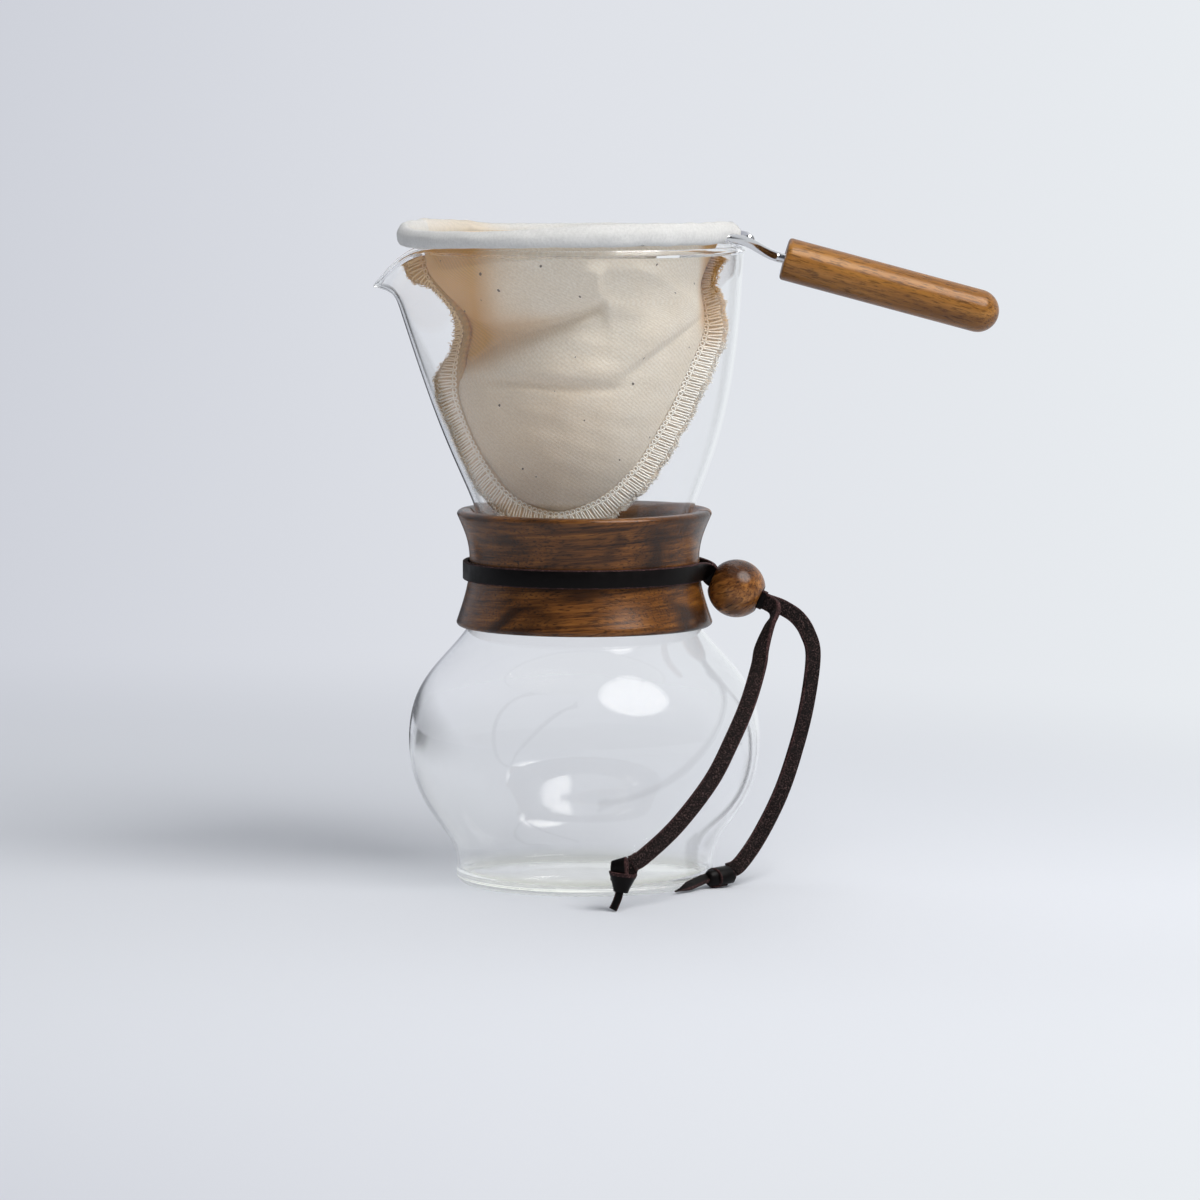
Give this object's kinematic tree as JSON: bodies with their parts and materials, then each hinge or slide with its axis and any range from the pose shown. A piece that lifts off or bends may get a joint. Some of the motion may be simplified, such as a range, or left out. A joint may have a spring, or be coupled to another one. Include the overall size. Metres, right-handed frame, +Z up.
{
  "type": "pour-over coffee brewer",
  "caption": "Hourglass glass carafe with a strapped wooden collar and a cloth filter bag on a handled wire hoop, for brewing coffee by hand and pouring it.",
  "frame": {"origin": "Centre of the carafe's foot, on the surface that it stands on.", "axes": "+Z up, +X along the filter's handle, -X along the pouring lip, -Y to the viewer of the picture."},
  "size_m": [0.1888, 0.124, 0.2007],
  "materials": {
    "clear_glass": "clear and polished",
    "dark_wood": "satin oiled walnut",
    "light_wood": "satin with straight grain",
    "dark_leather": "smooth face, suede back",
    "steel_wire": "drawn wire",
    "white_cloth": "soft brushed flannel",
    "cream_cloth": "brushed twill"
  },
  "bodies": {
    "pot": {"glass_carafe": "clear_glass", "collar_front": "dark_wood", "collar_back": "dark_wood", "strap_loop": "dark_leather", "tail_front": "dark_leather", "tail_back": "dark_leather", "knot_with_end_front": "dark_leather", "knot_with_end_back": "dark_leather"},
    "filter": {"wire_hoop": "steel_wire", "handle": "light_wood", "hem_casing": "white_cloth", "bag_front_panel": "cream_cloth", "bag_back_panel": "cream_cloth", "seam_flap": "cream_cloth"},
    "bead": {"wood_bead": "dark_wood"}
  },
  "joints": [
    {"name": "filter_lift", "type": "slide", "parent": "pot", "child": "filter", "axis": [0, 0, 1], "range_m": [0, 0.11]},
    {"name": "bead_slide", "type": "slide", "parent": "pot", "child": "bead", "axis": [0.9075, -0.1275, -0.4003], "range_m": [0, 0.012], "deforming": ["tail_front", "tail_back"]}
  ]
}
